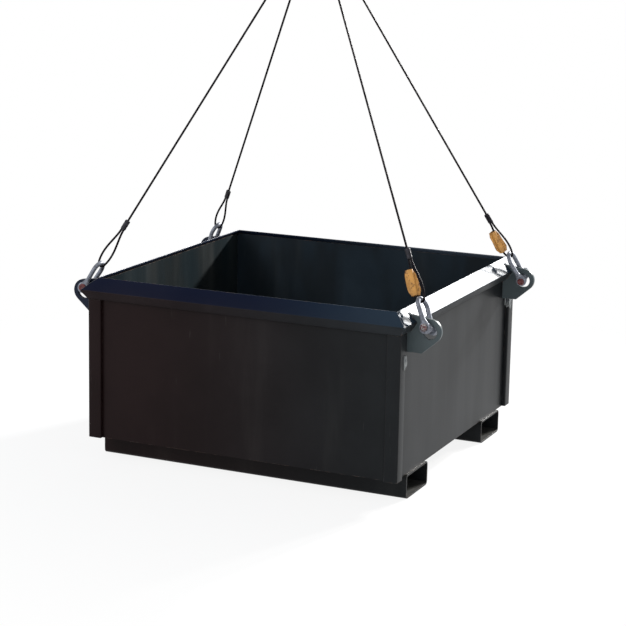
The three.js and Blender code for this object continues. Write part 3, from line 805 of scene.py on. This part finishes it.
class LIFTBOX_OT_tags(bpy.types.Operator):
    """Blank amber tags, two sheets pressed together on both sides of a strand"""

    bl_idname = "liftbox.tags"
    bl_label = "Tags"

    def execute(self, context):
        rigging = context.scene.lift_box_rigging
        amber = material("tag_amber", tag_sheet_material, rigging)
        for seed, corner in enumerate(TAGGED_CORNERS):
            node = "load_tag_" + corner
            joint = JOINTS["tag_turn_" + corner]
            foot = Vector(joint["pos_m"])
            up = Vector(joint["axis"]).normalized()
            spots = [vert.co - foot for vert in frame["nodes"][node].data.vertices]
            widest = max(spots, key=lambda spot: (spot - up * spot.dot(up)).length)
            across = (widest - up * widest.dot(up)).normalized()
            if across.x > 0:
                across = -across
            outward = up.cross(across)
            height = max(spot.dot(up) for spot in spots)
            half_width = max(spot.dot(across) for spot in spots)
            half_thickness = max(spot.dot(outward) for spot in spots)
            turn = Matrix((across, outward, up)).transposed().to_4x4()
            turn.translation = foot
            bm = new_bmesh()
            for face_side in (1, -1):
                self.add_sheet(bm, turn, face_side, half_width, half_thickness, height, rigging, seed)
            tag = "tag_" + corner
            add_piece(bm, tag, amber, tag, [node], sharp_angle=50)
        return {"FINISHED"}

    def add_sheet(self, bm, turn, face_side, half_width, half_thickness, height, rigging, seed):
        """One of the two sheets, with its corners cut, its channel over the strand, and its creases."""
        wall, seam = 1.0 * MM, 0.3 * MM
        channel, flank = 6.5 * MM, 6 * MM
        crease_height, grain_height = 2.6 * MM, 0.35 * MM
        made = bmesh.ops.create_grid(bm, x_segments=40, y_segments=60, size=0.5)["verts"]
        faces = list({face for vert in made for face in vert.link_faces})
        for vert in made:
            across, along = 2 * vert.co.x, vert.co.y + 0.5
            end = min(along, 1 - along)
            cut = 0.70 + 0.30 * smooth_step(end / 0.22)
            x = across * half_width * cut * (0.93 + 0.07 * math.sin(5 * along + seed))
            hump = smooth_step((channel + flank - abs(x)) / flank)
            lift = seam + (half_thickness - wall - seam) * hump
            wing = smooth_step(abs(across) * 1.3 - 0.6)
            gape = rigging.tag_bulge * wing * (0.25 + abs(2 * along - 1)) * 0.35
            crease = noise.noise(Vector((x / (17 * MM), along * 4.3, seed * 7.3)))
            fine = noise.noise(Vector((x / (6 * MM), along * 11.0, seed * 3.1 + face_side)))
            calm = 1 - 0.8 * across * across
            bend = crease_height * crease * (1 - hump) * calm
            rough = grain_height * fine * (1 - hump)
            y = face_side * (lift + gape * (0.5 + 0.5 * crease) * calm + rough) + bend
            drawn = rigging.tag_slant * (2 * along - 1) * across * across
            vert.co = turn @ Vector((x + drawn, y, along * height))
        if faces[0].normal.dot(turn.col[1].to_3d()) * face_side < 0:
            bmesh.ops.reverse_faces(bm, faces=faces)
        bm.normal_update()
        bmesh.ops.solidify(bm, geom=faces, thickness=wall)


class LIFTBOX_OT_ropes(bpy.types.Operator):
    """Four wire ropes, each turned back into a soft eye at both ends"""

    bl_idname = "liftbox.ropes"
    bl_label = "Ropes"

    def execute(self, context):
        rigging = context.scene.lift_box_rigging
        wire = material("laid_wire", wire_rope_steel, rigging)
        for corner in CORNERS:
            leg = Leg(corner)
            path = self.path(leg, rigging)
            route = Route(path, leg.pin)
            bm = new_bmesh()
            rings = round(route.length / rigging.lay_length * 14)
            add_tube(bm, route, strand_section(rigging), rings, sides=30)
            solids = [part + corner for part in ("lower_eye_", "rope_", "upper_eye_")]
            rope = add_piece(bm, "wire_rope_" + corner, wire, "sling_" + corner, solids)
        return {"FINISHED"}

    def path(self, leg, rigging):
        """From its end in the lower sleeve round the lower eye, up the leg and round the upper eye."""
        radius = rigging.rope_diameter / 2
        offset = radius + rigging.strand_gap
        foot, sleeve = leg.reach("lower_eye_" + leg.corner, leg.pull)
        bend_radius = leg.crown_height - foot - radius
        lower = eye_points(offset, sleeve - leg.crown_height, bend_radius)
        spots = [(across, sleeve - away) for across, away in reversed(lower)]
        low, high = leg.reach("rope_" + leg.corner, leg.pull)
        top_sleeve, head = leg.reach("upper_eye_" + leg.corner, leg.pull)
        upper = eye_points(offset, head - top_sleeve - radius - rigging.hook_bend, rigging.hook_bend)
        in_sleeve = low - sleeve
        spots = [(-offset, sleeve + 0.7 * in_sleeve), *spots]
        steps = 12
        for i in range(1, steps + 1):
            share = i / steps
            spots.append((offset * (1 - smooth_step(share)), sleeve + share * in_sleeve))
        spots += [(0, low + (high - low) * i / steps) for i in range(1, steps)]
        for i in range(steps):
            share = i / steps
            spots.append((offset * smooth_step(share), high + share * (top_sleeve - high)))
        spots += [(across, top_sleeve + away) for across, away in upper]
        spots.append((-offset, top_sleeve - 0.7 * in_sleeve))
        return [leg.point(0, across, along) for across, along in spots]


# Shackles


class LIFTBOX_OT_bows(bpy.types.Operator):
    """Forged shackle bows with bored ears"""

    bl_idname = "liftbox.bows"
    bl_label = "Shackle bows"

    def execute(self, context):
        rigging = context.scene.lift_box_rigging
        zinc = material("dull_zinc", galvanised_steel, rigging)
        forged = self.forged_bow(rigging, zinc)
        for corner in CORNERS:
            leg = Leg(corner)
            mesh = forged.data.copy()
            mesh.name = "bow_" + corner
            mesh.transform(leg.matrix)
            bow = bpy.data.objects.new("bow_" + corner, mesh)
            context.scene.collection.objects.link(bow)
            fit(bow, "shackle_" + corner, ["shackle_bow_" + corner])
        bpy.data.objects.remove(forged)
        return {"FINISHED"}

    def forged_bow(self, rigging, zinc):
        """A rod bent over the crown, joined to two ears, with its fillets, then bored for the pin."""
        leg = Leg(CORNERS[0])
        ear = leg.reach("shackle_bow_" + leg.corner, leg.pin)[1]
        rod = rigging.bow_rod / 2
        ear_radius = rigging.ear_radius
        jaw = rigging.jaw / 2
        ear_outer = jaw + 2 * rod + rigging.ear_proud
        bow_radius = ear - rod
        foot = jaw + rod
        middle = leg.crown_height - bow_radius
        bearing = math.atan2(-middle, foot)
        first = bearing + math.acos(bow_radius / math.hypot(foot, middle))
        arc, steps = [], 40
        for i in range(steps + 1):
            turn = first + (math.pi - 2 * first) * i / steps
            arc.append((bow_radius * math.cos(turn), 0, middle + bow_radius * math.sin(turn)))
        route = Route([(foot, 0, 0), *arc, (-foot, 0, 0)], (0, 1, 0))

        def section(turn, distance):
            from_ear = min(distance, route.length - distance)
            spread = 1 - smooth_step((from_ear - 0.5 * ear_radius) / (1.3 * ear_radius))
            across = rod * (1 + 0.12 * spread)
            sideways = rod + (0.78 * ear_radius - rod) * spread
            return across * math.cos(turn), sideways * math.sin(turn)

        bm = new_bmesh()
        add_tube(bm, route, section, rings=120, sides=40)
        for side in (1, -1):
            made = bmesh.ops.create_cone(
                bm, cap_ends=True, segments=64,
                radius1=ear_radius, radius2=ear_radius, depth=ear_outer - jaw,
            )["verts"]
            touched = {edge for vert in made for edge in vert.link_edges}
            edges = [edge for edge in touched if edge.calc_face_angle() > 1]
            turned_way = Matrix.Rotation(math.pi / 2, 4, "Y")
            bmesh.ops.transform(bm, matrix=turned_way, verts=made)
            bmesh.ops.translate(bm, verts=made, vec=(side * (ear_outer + jaw) / 2, 0, 0))
            round_edges(bm, edges, 2.2 * MM, segments=3)
        bmesh.ops.recalc_face_normals(bm, faces=bm.faces)
        bow = new_object(bm, "forged_bow", zinc)
        forging = bow.modifiers.new("Forging", "REMESH")
        forging.mode = "VOXEL"
        forging.voxel_size = 1.1 * MM
        softened = bow.modifiers.new("Softened", "SMOOTH")
        softened.iterations = 5
        bore = self.bore(rigging, ear_outer)
        cut = bow.modifiers.new("Bore", "BOOLEAN")
        cut.operation = "DIFFERENCE"
        cut.object = bore
        settle_modifiers(bow)
        bpy.data.objects.remove(bore)
        bow.data.shade_smooth()
        bow.data.set_sharp_from_angle(angle=math.radians(45))
        return bow

    def bore(self, rigging, ear_outer):
        bm = new_bmesh()
        radius = rigging.pin_radius + 0.4 * MM
        made = bmesh.ops.create_cone(
            bm, cap_ends=True, segments=64, radius1=radius, radius2=radius, depth=3 * ear_outer,
        )["verts"]
        bmesh.ops.transform(bm, matrix=Matrix.Rotation(math.pi / 2, 4, "Y"), verts=made)
        mesh = bpy.data.meshes.new("bore")
        bm.to_mesh(mesh)
        bm.free()
        tool = bpy.data.objects.new("bore", mesh)
        bpy.context.scene.collection.objects.link(tool)
        return tool


class LIFTBOX_OT_pins(bpy.types.Operator):
    """Shackle pins with a domed head and a threaded end"""

    bl_idname = "liftbox.pins"
    bl_label = "Shackle pins"

    def execute(self, context):
        rigging = context.scene.lift_box_rigging
        zinc = material("dull_zinc", galvanised_steel, rigging)
        for corner in CORNERS:
            leg = Leg(corner)
            low, high = leg.reach("shackle_pin_" + corner, leg.pin)
            head = leg.reach("shackle_pin_" + corner, leg.across)[1]
            bm = new_bmesh()
            turned(bm, self.profile(rigging, low, high, head), steps=56)
            for face in bm.faces:
                face.material_index = int(face.calc_center_median().x > low + rigging.head_height)
            bmesh.ops.transform(bm, matrix=leg.matrix, verts=bm.verts)
            worn = corner == "front_right"
            name, chipped = ("red_lacquer_worn", 0.7) if worn else ("red_lacquer", 0.0)
            red = material(name, lacquered_steel, rigging, chipped)
            pin = add_piece(
                bm, "pin_" + corner, red, "shackle_" + corner, ["shackle_pin_" + corner],
                sharp_angle=32,
            )
            pin.data.materials.append(zinc)
        return {"FINISHED"}

    def profile(self, rigging, low, high, head):
        radius = rigging.pin_radius
        under_head = low + rigging.head_height
        edge = 1.4 * MM
        dimple = 0.30 * head
        points = [
            (0, low + 1.3 * MM),
            (dimple, low + 1.1 * MM),
            (dimple + 1.2 * MM, low + 0.2 * MM),
            (0.62 * head, low),
            (head - 1.2 * edge, low + 0.25 * edge),
            (head - 0.3 * edge, low + 0.8 * edge),
            (head, low + 1.8 * edge),
            (head, under_head - 0.5 * MM),
            (head - 0.5 * MM, under_head),
            (radius, under_head),
        ]
        pitch = rigging.thread_pitch
        depth = 0.9 * MM
        start = high - rigging.thread_length
        points.append((radius, start))
        turns = int((high - start - edge) / pitch)
        for i in range(turns):
            points.append((radius - depth, start + (i + 0.35) * pitch))
            points.append((radius - depth, start + (i + 0.55) * pitch))
            points.append((radius, start + (i + 0.9) * pitch))
            points.append((radius, start + (i + 1) * pitch))
        points.append((radius - edge, high))
        points.append((0, high))
        return points


class LIFTBOX_OT_nuts(bpy.types.Operator):
    """Hexagon nuts on the pins' threads"""

    bl_idname = "liftbox.nuts"
    bl_label = "Shackle nuts"

    def execute(self, context):
        rigging = context.scene.lift_box_rigging
        zinc = material("dull_zinc", galvanised_steel, rigging)
        for corner in CORNERS:
            node = "shackle_nut_" + corner
            add_piece(
                merged_copy(node), "nut_" + corner, zinc, "shackle_" + corner, [node],
                sharp_angle=40, edge=1.3 * MM, segments=3,
            )
        return {"FINISHED"}


# Box


def wave_sheet(bm, normal_axis, height, seed):
    """Draws a sheet in and out by a smooth wave that dies away at its borders."""
    spacing, border = 28 * MM, 120 * MM
    low = Vector([min(vert.co[i] for vert in bm.verts) for i in range(3)])
    high = Vector([max(vert.co[i] for vert in bm.verts) for i in range(3)])
    flat = [i for i in range(3) if i != normal_axis]
    for axis in flat:
        edges = []
        for edge in bm.edges:
            way = edge.verts[1].co - edge.verts[0].co
            if abs(way[axis]) > 0.99 * way.length:
                edges.append(edge)
        cuts = round((high[axis] - low[axis]) / spacing)
        bmesh.ops.subdivide_edges(bm, edges=edges, cuts=cuts, use_grid_fill=True)
    for vert in bm.verts:
        share = 1.0
        for axis in flat:
            nearest = min(vert.co[axis] - low[axis], high[axis] - vert.co[axis])
            share *= smooth_step(nearest / border)
        spot = Vector((vert.co[flat[0]] * 4.6, vert.co[flat[1]] * 2.1, seed))
        vert.co[normal_axis] += height * share * noise.noise(spot) * 1.6


def paint_inside(piece, outward, inside):
    """Gives the faces that look into the box the inside paint."""
    piece.data.materials.append(inside)
    for polygon in piece.data.polygons:
        if polygon.normal.dot(outward) < -0.5:
            polygon.material_index = 1


class LIFTBOX_OT_panels(bpy.types.Operator):
    """Recessed side sheets and the floor sheet"""

    bl_idname = "liftbox.panels"
    bl_label = "Side sheets and floor"

    def execute(self, context):
        sheets = context.scene.lift_box_sheets
        sides = (
            ("front_panel", "front_sheet", 1, (0, -1, 0)),
            ("back_panel", "back_sheet", 1, (0, 1, 0)),
            ("left_panel", "left_sheet", 0, (-1, 0, 0)),
            ("right_panel", "right_sheet", 0, (1, 0, 0)),
            ("floor_plate", "floor_sheet", 2, (0, 0, -1)),
        )
        for seed, (node, name, axis, outward) in enumerate(sides):
            bm = merged_copy(node)
            wave_sheet(bm, axis, sheets.waviness, 3.7 * seed + 1.3)
            sheet = add_piece(bm, name, box_paint(context, "side_paint"), "box", [node])
            # The left wall's inside takes the darker copy of the inside paint, a painted shade.
            inside = "inside_left_paint" if node == "left_panel" else "inside_paint"
            paint_inside(sheet, Vector(outward), box_paint(context, inside))
        return {"FINISHED"}


class LIFTBOX_OT_posts(bpy.types.Operator):
    """Folded corner posts"""

    bl_idname = "liftbox.posts"
    bl_label = "Corner posts"

    def execute(self, context):
        sheets = context.scene.lift_box_sheets
        for corner in CORNERS:
            node = "corner_post_" + corner
            bm = merged_copy(node)
            round_edges(bm, fold_edges(bm), sheets.fold_radius, segments=5)
            add_piece(
                bm, "post_" + corner, box_paint(context, "side_paint"), "box", [node],
                sharp_angle=50, edge=sheets.edge_radius,
            )
        return {"FINISHED"}


class LIFTBOX_OT_rim(bpy.types.Operator):
    """Folded rim rails, mitred at the corners"""

    bl_idname = "liftbox.rim"
    bl_label = "Rim"

    def execute(self, context):
        sheets = context.scene.lift_box_sheets
        sides = {"front": (0, -1, 0), "right": (1, 0, 0), "back": (0, 1, 0), "left": (-1, 0, 0)}
        for side, outward in sides.items():
            node = "rim_rail_" + side
            bm = merged_copy(node)
            round_edges(bm, fold_edges(bm), sheets.fold_radius, segments=5)
            rail = add_piece(
                bm, "rim_" + side, box_paint(context, "rim_paint"), "box", [node],
                sharp_angle=50, edge=sheets.rim_edge,
            )
            # Faces that look into the box and the rounded edges take the edge paint, whose lighter right
            # end is a painted highlight.
            paint_inside(rail, Vector(outward), box_paint(context, "edge_paint"))
            rail.modifiers[0].material = 1
        return {"FINISHED"}


class LIFTBOX_OT_pockets(bpy.types.Operator):
    """Fork pockets, open at both ends"""

    bl_idname = "liftbox.pockets"
    bl_label = "Fork pockets"

    def execute(self, context):
        edge = context.scene.lift_box_sheets.edge_radius
        for side in ("front", "back"):
            node = "fork_pocket_" + side
            add_piece(
                merged_copy(node), "pocket_" + side, box_paint(context, "side_paint"), "box",
                [node], sharp_angle=40, edge=edge,
            )
        return {"FINISHED"}


class LIFTBOX_OT_lugs(bpy.types.Operator):
    """Lifting lugs, thick plates with a large hole"""

    bl_idname = "liftbox.lugs"
    bl_label = "Lifting lugs"

    def execute(self, context):
        edge = context.scene.lift_box_sheets.plate_edge
        for corner in CORNERS:
            node = "lifting_lug_" + corner
            add_piece(
                merged_copy(node), "lug_" + corner, box_paint(context, "plate_paint"), "box",
                [node], sharp_angle=40, edge=edge, segments=3,
            )
        return {"FINISHED"}


def rim_line(side):
    """A rail's inner top edge, its fold and its lip's foot, as places out from the middle and up."""
    axis = 0 if side in ("left", "right") else 1
    rail = frame["nodes"]["rim_rail_" + side].data
    places = sorted((abs(vert.co[axis]), vert.co.z) for vert in rail.vertices)
    low = min(up for out, up in places)
    high = max(up for out, up in places)
    inner = next(place for place in places if place[1] > high - 0.1 * MM)
    foot = next(place for place in reversed(places) if place[1] < low + 0.1 * MM)
    return Vector(inner), Vector(places[-1]), Vector(foot)


def add_bead(bm, start, end, width, pitch, seed):
    """A weld bead from start to end, rippled along its length and rounded at both ends."""
    start, end = Vector(start), Vector(end)
    way = (end - start).normalized()
    route = Route([start, end], way.orthogonal())
    end_run = 0.8 * width

    def section(turn, distance):
        from_end = min(distance, route.length - distance)
        share = min(max(from_end / end_run, 0.0), 1.0)
        tapered = 0.25 + 0.75 * math.sqrt(max(0.0, 1 - (1 - share) ** 2))
        ripple = 1 + 0.09 * math.sin(2 * math.pi * distance / pitch)
        uneven = 1 + 0.14 * noise.noise(Vector((distance / (9 * MM), math.cos(turn), seed)))
        reach = width / 2 * tapered * ripple * uneven
        return reach * math.cos(turn), reach * math.sin(turn)

    rings = max(6, round(route.length / pitch * 4))
    add_tube(bm, route, section, rings, sides=10)


class LIFTBOX_OT_welds(bpy.types.Operator):
    """Weld beads at the lugs, at the rim's mitres and along the floor"""

    bl_idname = "liftbox.welds"
    bl_label = "Weld beads"

    def execute(self, context):
        sheets = context.scene.lift_box_sheets
        paint = context.scene.lift_box_paint
        bead = material("weld_bead", weld_bead, paint, paint.bead, 0.0)
        painted = box_paint(context, "rim_paint")
        for seed, corner in enumerate(CORNERS):
            end, side = corner.split("_")
            ways = (1 if side == "right" else -1, 1 if end == "back" else -1)
            self.lug_welds(corner, side, ways, sheets, painted, seed)
            self.mitre_weld(corner, side, end, ways, sheets, painted, seed)
        bare = material("bare_weld", weld_bead, paint, paint.bare, 0.15)
        for seed, corner in enumerate(TAGGED_CORNERS):
            self.bare_weld(corner, sheets, bare, seed)
        self.floor_welds(sheets, bead)
        return {"FINISHED"}

    def bare_weld(self, corner, sheets, bare, seed):
        """A later weld that was left bright, over the step from a right-hand post to its sheet."""
        post_low, post_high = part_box("corner_post_" + corner)
        y_way = 1 if "back" in corner else -1
        edge = min(abs(post_low.y), abs(post_high.y))
        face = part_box("right_panel")[1].x
        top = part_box("lifting_lug_" + corner)[0].z - 2 * MM
        width = 1.5 * sheets.weld_width
        places = (
            (post_high.x, edge + 2.4 * width, 50 * MM),
            (post_high.x, edge + 1.3 * width, 44 * MM),
            (post_high.x, edge + 0.2 * width, 38 * MM),
            ((face + post_high.x) / 2, edge, 42 * MM),
            (face, edge - 0.5 * width, 34 * MM),
        )
        bm = new_bmesh()
        for i, (out, along, drop) in enumerate(places):
            start = Vector((out, y_way * along, top))
            lean = Vector((0, y_way * 4 * MM, drop))
            add_bead(bm, start, start - lean, width, sheets.ripple_pitch, seed + 5.3 * i)
        add_piece(bm, "bare_weld_" + corner, bare, "box")

    def lug_welds(self, corner, side, ways, sheets, bead, seed):
        """Fillets on both faces of a lug: up the side sheet, up the lip and up the slope."""
        lug_low, lug_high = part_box("lifting_lug_" + corner)
        inner, fold, foot = rim_line(side)
        panel_out = max(abs(place.x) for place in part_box(side + "_panel"))
        top_out = min(abs(lug_low.x), abs(lug_high.x)) + sheets.weld_width / 2
        lug_top = inner.lerp(fold, (top_out - inner.x) / (fold.x - inner.x))
        margin = Vector((0, sheets.weld_width / 2))
        lines = (
            (Vector((panel_out, lug_low.z)) + margin, Vector((panel_out, foot.y)) - margin),
            (foot + margin, fold),
            (fold, lug_top),
        )
        bm = new_bmesh()
        for face_y in (lug_low.y, lug_high.y):
            for line in lines:
                start, end = (Vector((ways[0] * place.x, face_y, place.y)) for place in line)
                add_bead(bm, start, end, sheets.weld_width, sheets.ripple_pitch, seed + face_y)
        add_piece(bm, "lug_weld_" + corner, bead, "box")

    def mitre_weld(self, corner, side, end, ways, sheets, bead, seed):
        """A low bead down the slope and the lip where two rim rails meet."""
        inset = sheets.fold_radius * 0.35
        width = 0.4 * sheets.weld_width
        inner, outer, foot = (
            Vector((ways[0] * (out.x - inset), ways[1] * (back.x - inset), out.y - inset))
            for out, back in zip(rim_line(side), rim_line(end))
        )
        bm = new_bmesh()
        add_bead(bm, inner, outer, width, sheets.ripple_pitch, seed + 11)
        add_bead(bm, outer, foot, width, sheets.ripple_pitch, seed + 17)
        add_piece(bm, "mitre_weld_" + corner, bead, "box")

    def floor_welds(self, sheets, bead):
        """Stitches between the floor sheet and the four side sheets."""
        low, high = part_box("floor_plate")
        stitch, pitch = 60 * MM, 190 * MM
        bm = new_bmesh()
        for along, across in ((0, 1), (1, 0)):
            count = int((high[along] - low[along]) / pitch)
            first = -(count - 1) * pitch / 2 - stitch / 2
            for end in (low[across], high[across]):
                for i in range(count):
                    start = Vector((0, 0, high.z))
                    start[across] = end
                    start[along] = first + i * pitch
                    stop = start.copy()
                    stop[along] += stitch
                    add_bead(bm, start, stop, sheets.weld_width, sheets.ripple_pitch, i + end)
        add_piece(bm, "floor_welds", bead, "box")


class LIFTBOX_PT_sidebar(bpy.types.Panel):
    """Settings and steps of the lift box"""

    bl_label = "Lift box"
    bl_idname = "LIFTBOX_PT_sidebar"
    bl_space_type = "VIEW_3D"
    bl_region_type = "UI"
    bl_category = "Lift box"

    def draw(self, context):
        layout = self.layout
        for group, _ in SETTINGS:
            settings = getattr(context.scene, group)
            column = layout.column(align=True)
            for name in settings.__annotations__:
                column.prop(settings, name)
        for operator in OPERATORS:
            layout.operator(operator.bl_idname)


OPERATORS = (
    LIFTBOX_OT_stage,
    LIFTBOX_OT_sleeves,
    LIFTBOX_OT_tags,
    LIFTBOX_OT_ropes,
    LIFTBOX_OT_bows,
    LIFTBOX_OT_pins,
    LIFTBOX_OT_nuts,
    LIFTBOX_OT_panels,
    LIFTBOX_OT_posts,
    LIFTBOX_OT_rim,
    LIFTBOX_OT_pockets,
    LIFTBOX_OT_lugs,
    LIFTBOX_OT_welds,
)
SETTINGS = (
    ("lift_box_stage", LiftBoxStageSettings),
    ("lift_box_sheets", LiftBoxSheetSettings),
    ("lift_box_paint", LiftBoxPaintSettings),
    ("lift_box_rigging", LiftBoxRiggingSettings),
)


def register():
    for name, settings in SETTINGS:
        bpy.utils.register_class(settings)
        setattr(bpy.types.Scene, name, PointerProperty(type=settings))
    for operator in OPERATORS:
        bpy.utils.register_class(operator)
    bpy.utils.register_class(LIFTBOX_PT_sidebar)


def unregister():
    bpy.utils.unregister_class(LIFTBOX_PT_sidebar)
    for operator in reversed(OPERATORS):
        bpy.utils.unregister_class(operator)
    for name, settings in reversed(SETTINGS):
        delattr(bpy.types.Scene, name)
        bpy.utils.unregister_class(settings)


def main():
    register()
    for operator in OPERATORS:
        group, name = operator.bl_idname.split(".")
        getattr(getattr(bpy.ops, group), name)()


if __name__ == "__main__":
    main()
